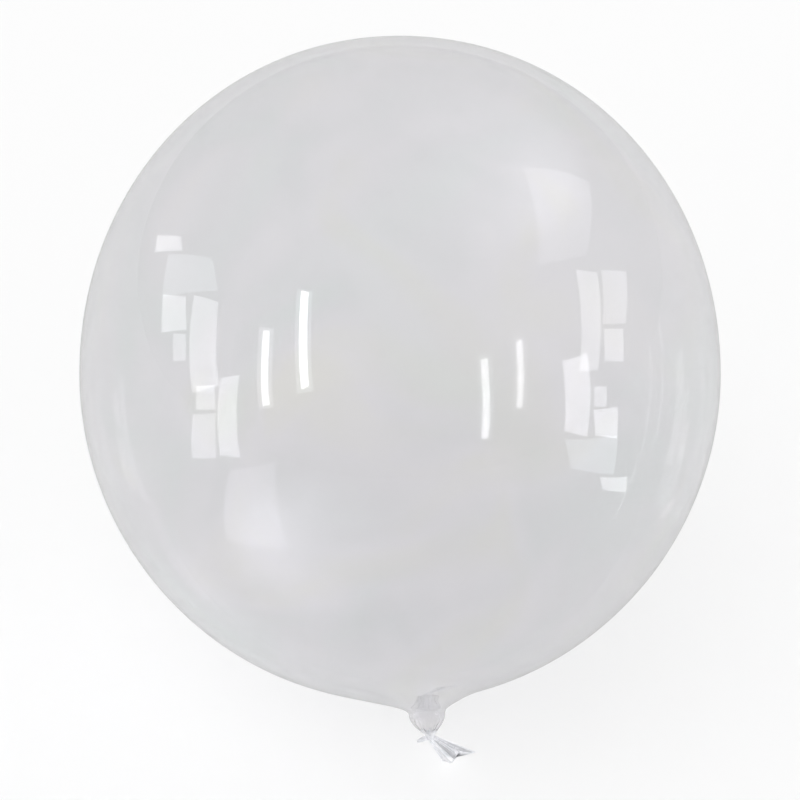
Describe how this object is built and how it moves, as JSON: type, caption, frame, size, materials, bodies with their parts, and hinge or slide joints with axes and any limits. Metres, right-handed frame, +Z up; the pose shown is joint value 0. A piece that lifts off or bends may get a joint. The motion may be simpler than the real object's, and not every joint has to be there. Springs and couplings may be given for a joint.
{
  "type": "clear bubble balloon",
  "caption": "Clear round bubble balloon of stretched see-through film, tied off at a short gathered neck with a small folded tail, lying at rest.",
  "frame": {"origin": "middle of the small flat spot that the balloon rests on", "axes": "+Z up; +X across the balloon, towards the side that the neck is offset to; -Y towards the side where the neck points down and out"},
  "size_m": [0.48, 0.4866, 0.4894],
  "materials": {
    "film": "clear glossy plastic film"
  },
  "bodies": {
    "root": {"bubble_balloon": "film"}
  },
  "joints": []
}
